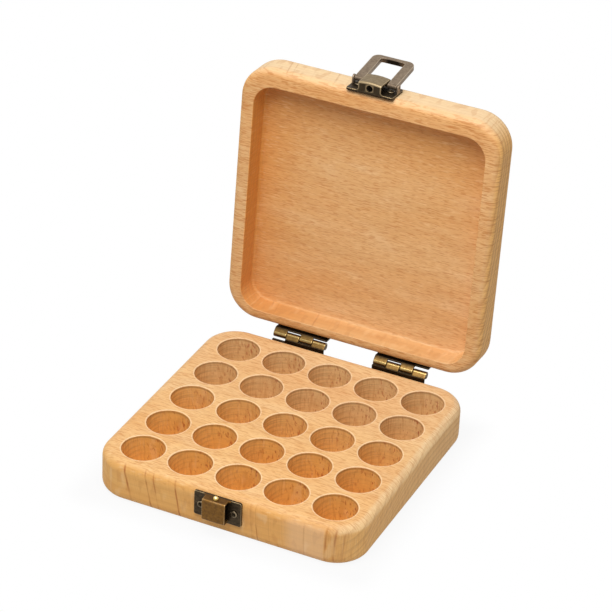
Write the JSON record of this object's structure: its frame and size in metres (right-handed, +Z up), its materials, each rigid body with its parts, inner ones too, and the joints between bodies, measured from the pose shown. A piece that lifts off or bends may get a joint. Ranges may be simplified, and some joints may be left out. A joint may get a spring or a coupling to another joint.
{
  "type": "essential oil storage box",
  "caption": "Hinged beech box with a drilled base for small oil bottles, a hollowed lid and a bail latch, standing open.",
  "frame": {"origin": "middle of the base's flat underside", "axes": "+Z up, +X along the hinge line to the right as seen from the latch side, +Y to the back, where the open lid stands"},
  "size_m": [0.121, 0.1638, 0.1476],
  "materials": {
    "beech": "smooth sanded, clear satin oil",
    "antique_bronze": "dark antique plating, brassy where rubbed",
    "worn_bronze": "antique plating rubbed to grey brown",
    "screw_bronze": "dark antique plating",
    "bright_brass": "bright, lightly polished"
  },
  "bodies": {
    "base": {"base_block": "beech", "hinge_left_base_leaf": "antique_bronze", "hinge_right_base_leaf": "antique_bronze", "hinge_left_pin": "antique_bronze", "hinge_right_pin": "antique_bronze", "latch_keeper": "antique_bronze", "latch_nib": "bright_brass", "hinge_left_base_screw_1": "screw_bronze", "hinge_left_base_screw_2": "screw_bronze", "hinge_right_base_screw_1": "screw_bronze", "hinge_right_base_screw_2": "screw_bronze", "latch_keeper_screw_left": "screw_bronze", "latch_keeper_screw_right": "screw_bronze"},
    "lid": {"lid_block": "beech", "hinge_left_lid_leaf": "antique_bronze", "hinge_right_lid_leaf": "antique_bronze", "latch_lid_plate": "worn_bronze", "latch_pivot_pin": "worn_bronze", "hinge_left_lid_screw_1": "screw_bronze", "hinge_left_lid_screw_2": "screw_bronze", "hinge_right_lid_screw_1": "screw_bronze", "hinge_right_lid_screw_2": "screw_bronze", "latch_lid_screw_left": "screw_bronze", "latch_lid_screw_right": "screw_bronze"},
    "bail": {"latch_bail": "worn_bronze"}
  },
  "joints": [
    {"name": "lid_hinge", "type": "hinge", "parent": "base", "child": "lid", "pos_m": [0, 0.0631, 0.01915], "axis": [-1, 0, 0], "range_deg": [-94.3, 0]},
    {"name": "bail_pivot", "type": "hinge", "parent": "lid", "child": "bail", "pos_m": [-0.0005, 0.07877, 0.14483], "axis": [1, 0, 0], "range_deg": [-16.6, 171]}
  ]
}
